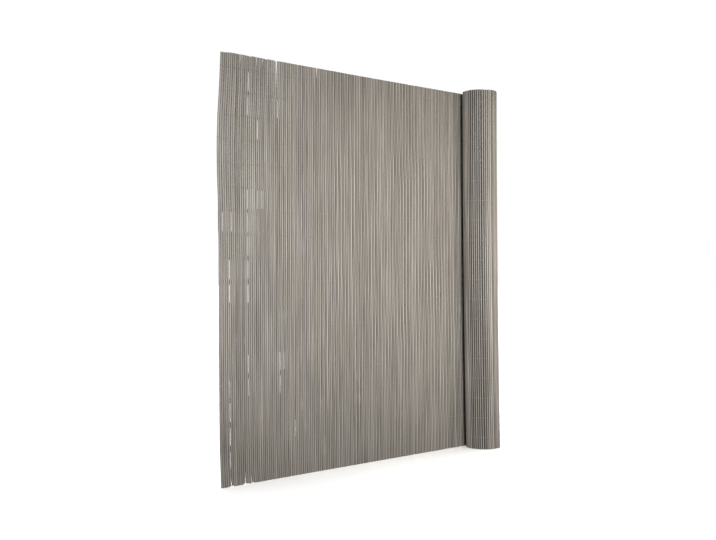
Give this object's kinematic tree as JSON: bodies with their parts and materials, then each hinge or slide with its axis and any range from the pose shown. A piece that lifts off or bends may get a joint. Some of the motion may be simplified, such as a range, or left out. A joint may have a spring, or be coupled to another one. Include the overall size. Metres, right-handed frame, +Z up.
{
  "type": "privacy screen mat",
  "caption": "Slatted privacy mat of upright oval plastic slats on level binding threads, half of it unrolled flat and half wound into a standing roll.",
  "frame": {"origin": "on the ground under the middle of the mat's bounding box", "axes": "+X along the unrolled stretch towards the roll, -Y out of its front face, to which side it is rolled, +Z up along the slats"},
  "size_m": [1.6882, 0.1824, 1.8],
  "materials": {
    "slat_pvc": "matt taupe extruded PVC",
    "thread": "matt taupe synthetic thread"
  },
  "bodies": {
    "root": {"panel_slats": "slat_pvc", "roll_slats": "slat_pvc", "binding_thread_01": "thread", "binding_thread_02": "thread", "binding_thread_03": "thread", "binding_thread_04": "thread", "binding_thread_05": "thread", "binding_thread_06": "thread", "binding_thread_07": "thread", "binding_thread_08": "thread", "binding_thread_09": "thread", "binding_thread_10": "thread", "binding_thread_11": "thread", "binding_thread_12": "thread", "binding_thread_13": "thread", "binding_thread_14": "thread", "binding_thread_15": "thread", "binding_thread_16": "thread", "binding_thread_17": "thread", "binding_thread_18": "thread"}
  },
  "joints": []
}
